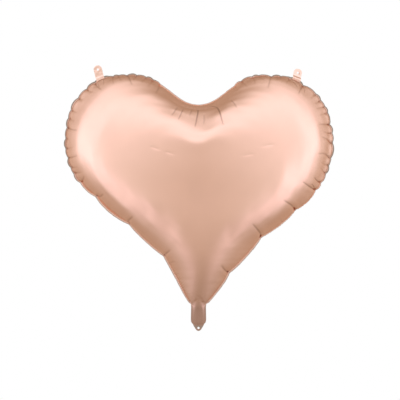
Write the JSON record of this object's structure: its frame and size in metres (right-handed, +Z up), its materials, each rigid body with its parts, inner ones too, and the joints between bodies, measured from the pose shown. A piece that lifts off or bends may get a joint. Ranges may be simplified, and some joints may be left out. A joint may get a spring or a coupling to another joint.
{
  "type": "foil balloon",
  "caption": "Inflated heart-shaped foil balloon: two domed panels welded at a puckered rim, filler neck with film valve, hanging tabs.",
  "frame": {"origin": "lowest point of the filler neck, on the heart's centre line, in the plane of the rim's weld", "axes": "+Z up along the heart's centre line from the neck to the notch, +X across the heart towards its right lobe, -Y out of the front face"},
  "size_m": [0.6098, 0.2794, 0.6005],
  "materials": {
    "foil_front": "satin rose gold metallised film",
    "foil_back": "satin rose gold metallised film",
    "weld": "fused heat-seal layer of the film",
    "valve_film": "translucent polyethylene film"
  },
  "bodies": {
    "envelope": {"front_panel": "foil_front", "back_panel": "foil_back", "rim_seal": "weld"},
    "neck": {"neck_front": "foil_front", "neck_back": "foil_back", "neck_seal": "weld", "valve_sleeve_front": "valve_film", "valve_sleeve_back": "valve_film"},
    "hang_tab_left": {"hang_tab_left_front": "foil_front", "hang_tab_left_seal": "weld", "hang_tab_left_back": "foil_back"},
    "hang_tab_right": {"hang_tab_right_front": "foil_front", "hang_tab_right_seal": "weld", "hang_tab_right_back": "foil_back"},
    "valve_tongue_front": {"valve_tongue_front": "valve_film"},
    "valve_tongue_back": {"valve_tongue_back": "valve_film"}
  },
  "joints": [
    {"name": "neck_fold", "type": "hinge", "parent": "envelope", "child": "neck", "pos_m": [0, 0, 0.059], "axis": [1, 0, 0], "range_deg": [-90, 90], "stiffness_Nm_per_rad": 0.001},
    {"name": "hang_tab_left_fold", "type": "hinge", "parent": "envelope", "child": "hang_tab_left", "pos_m": [-0.22252, 0, 0.57112], "axis": [0.9321, 0, 0.3621], "range_deg": [-85, 85], "stiffness_Nm_per_rad": 0.001},
    {"name": "hang_tab_right_fold", "type": "hinge", "parent": "envelope", "child": "hang_tab_right", "pos_m": [0.22252, 0, 0.57112], "axis": [0.9321, 0, -0.3621], "range_deg": [-37, 133], "stiffness_Nm_per_rad": 0.001},
    {"name": "valve_front_open", "type": "hinge", "parent": "envelope", "child": "valve_tongue_front", "pos_m": [0, -0.00035, 0.062], "axis": [1, 0, 0], "range_deg": [0, 5], "stiffness_Nm_per_rad": 0.0005},
    {"name": "valve_back_open", "type": "hinge", "parent": "envelope", "child": "valve_tongue_back", "pos_m": [0, 0.00035, 0.062], "axis": [1, 0, 0], "range_deg": [-5, 0]}
  ],
  "couplings": [
    {"joint": "valve_back_open", "follows": "valve_front_open", "ratio": -1}
  ]
}
